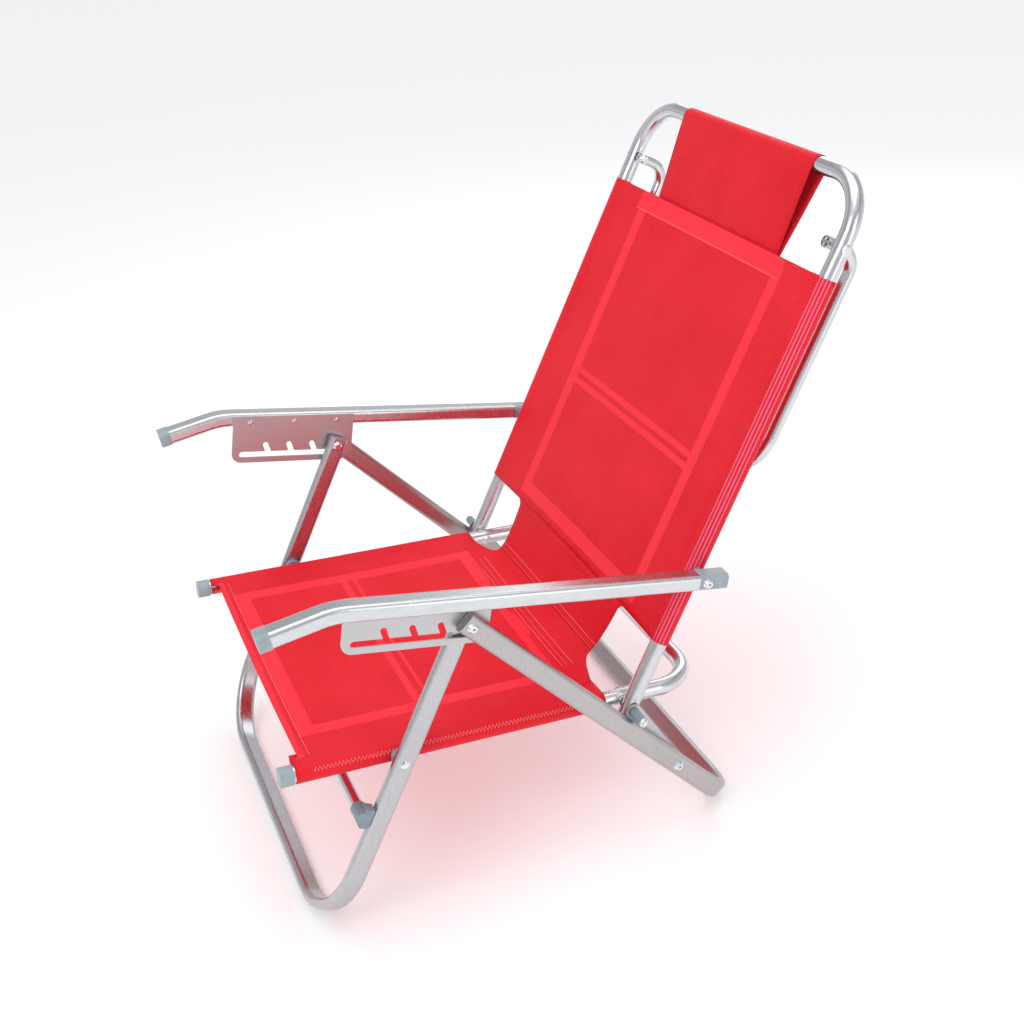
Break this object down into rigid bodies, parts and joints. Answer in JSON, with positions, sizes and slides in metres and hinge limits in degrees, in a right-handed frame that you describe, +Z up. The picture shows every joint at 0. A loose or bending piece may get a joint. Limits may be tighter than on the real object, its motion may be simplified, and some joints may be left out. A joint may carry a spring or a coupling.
{
  "type": "folding beach chair",
  "caption": "Low folding beach chair with bent aluminium tube legs, notched reclining armrests, a stretched red mesh sling, headrest strip and carrying bail.",
  "frame": {"origin": "on the floor under the centre of the chair's bounding box", "axes": "+Z up, +Y to the rear of the chair, +X to the sitter's left"},
  "size_m": [0.6226, 0.8119, 0.8339],
  "materials": {
    "frame_tube": "polished",
    "grey_plastic": "satin",
    "bright_steel": "polished",
    "red_mesh": "woven mesh"
  },
  "bodies": {
    "front_frame": {"front_leg": "frame_tube", "front_leg_plugs": "grey_plastic", "front_brace": "frame_tube", "brace_clip_left": "grey_plastic", "brace_clip_right": "grey_plastic", "top_bolts_inner": "bright_steel"},
    "rear_frame": {"rear_leg": "frame_tube", "rear_leg_plugs": "grey_plastic", "top_bolts_outer": "bright_steel", "tie_rivets": "bright_steel"},
    "seat": {"seat_tube": "frame_tube", "seat_cap_left": "grey_plastic", "seat_cap_right": "grey_plastic", "seat_saddle_left": "grey_plastic", "seat_saddle_right": "grey_plastic", "seat_rivets": "bright_steel", "seat_sling": "red_mesh"},
    "back_pins": {"pivot_bolts": "bright_steel", "pivot_washers": "bright_steel", "pivot_sleeve_left": "grey_plastic", "pivot_sleeve_right": "grey_plastic", "pivot_acorn_left": "bright_steel", "pivot_acorn_right": "bright_steel"},
    "back": {"back_tube": "frame_tube", "back_sling": "red_mesh", "headrest": "red_mesh", "bail_bolts": "bright_steel"},
    "armrest_pins": {"armrest_bolts": "bright_steel", "armrest_bushing_left": "grey_plastic", "armrest_bushing_right": "grey_plastic"},
    "armrest_left": {"armrest_tube_left": "frame_tube", "armrest_cap_left": "grey_plastic", "armrest_clip_left": "grey_plastic", "ratchet_plate_left": "frame_tube", "plate_rivets_left": "bright_steel"},
    "armrest_right": {"armrest_tube_right": "frame_tube", "armrest_cap_right": "grey_plastic", "armrest_clip_right": "grey_plastic", "ratchet_plate_right": "frame_tube", "plate_rivets_right": "bright_steel"},
    "tie_bars": {"tie_bar_left": "frame_tube", "tie_bar_right": "frame_tube"},
    "bail": {"bail_tube": "frame_tube"}
  },
  "joints": [
    {"name": "fold", "type": "hinge", "parent": "front_frame", "child": "seat", "pos_m": [0, -0.25935, 0.23506], "axis": [-1, 0, 0], "range_deg": [0, 106]},
    {"name": "fold_rear_leg", "type": "hinge", "parent": "front_frame", "child": "rear_frame", "pos_m": [0, -0.16037, 0.41], "axis": [-1, 0, 0], "range_deg": [0, 74.5]},
    {"name": "fold_back", "type": "hinge", "parent": "seat", "child": "back_pins", "pos_m": [0, 0.04398, 0.20318], "axis": [-1, 0, 0], "range_deg": [-106.2, 0]},
    {"name": "recline", "type": "hinge", "parent": "back_pins", "child": "back", "pos_m": [0, 0.04398, 0.20318], "axis": [-1, 0, 0], "range_deg": [0, 36.7]},
    {"name": "fold_armrest", "type": "hinge", "parent": "back", "child": "armrest_pins", "pos_m": [0, 0.14296, 0.37812], "axis": [-1, 0, 0], "range_deg": [0, 106.2]},
    {"name": "armrest_left_tilt", "type": "hinge", "parent": "armrest_pins", "child": "armrest_left", "pos_m": [0, 0.14296, 0.37812], "axis": [-1, 0, 0], "range_deg": [-26.6, 0]},
    {"name": "armrest_right_tilt", "type": "hinge", "parent": "armrest_pins", "child": "armrest_right", "pos_m": [0, 0.14296, 0.37812], "axis": [-1, 0, 0], "range_deg": [-26.6, 0]},
    {"name": "fold_tie_bars", "type": "hinge", "parent": "seat", "child": "tie_bars", "pos_m": [0, 0.04398, 0.20318], "axis": [-1, 0, 0], "range_deg": [0, 115]},
    {"name": "bail_swing", "type": "hinge", "parent": "back", "child": "bail", "pos_m": [0, 0.3547, 0.75237], "axis": [1, 0, 0], "range_deg": [0, 86]}
  ],
  "couplings": [
    {"joint": "fold_rear_leg", "follows": "fold", "ratio": 0.7},
    {"joint": "fold_back", "follows": "fold", "ratio": -1},
    {"joint": "fold_armrest", "follows": "fold", "ratio": 1},
    {"joint": "fold_tie_bars", "follows": "fold", "ratio": 1.06},
    {"joint": "armrest_left_tilt", "follows": "recline", "ratio": -0.7221},
    {"joint": "armrest_right_tilt", "follows": "recline", "ratio": -0.7221}
  ]
}
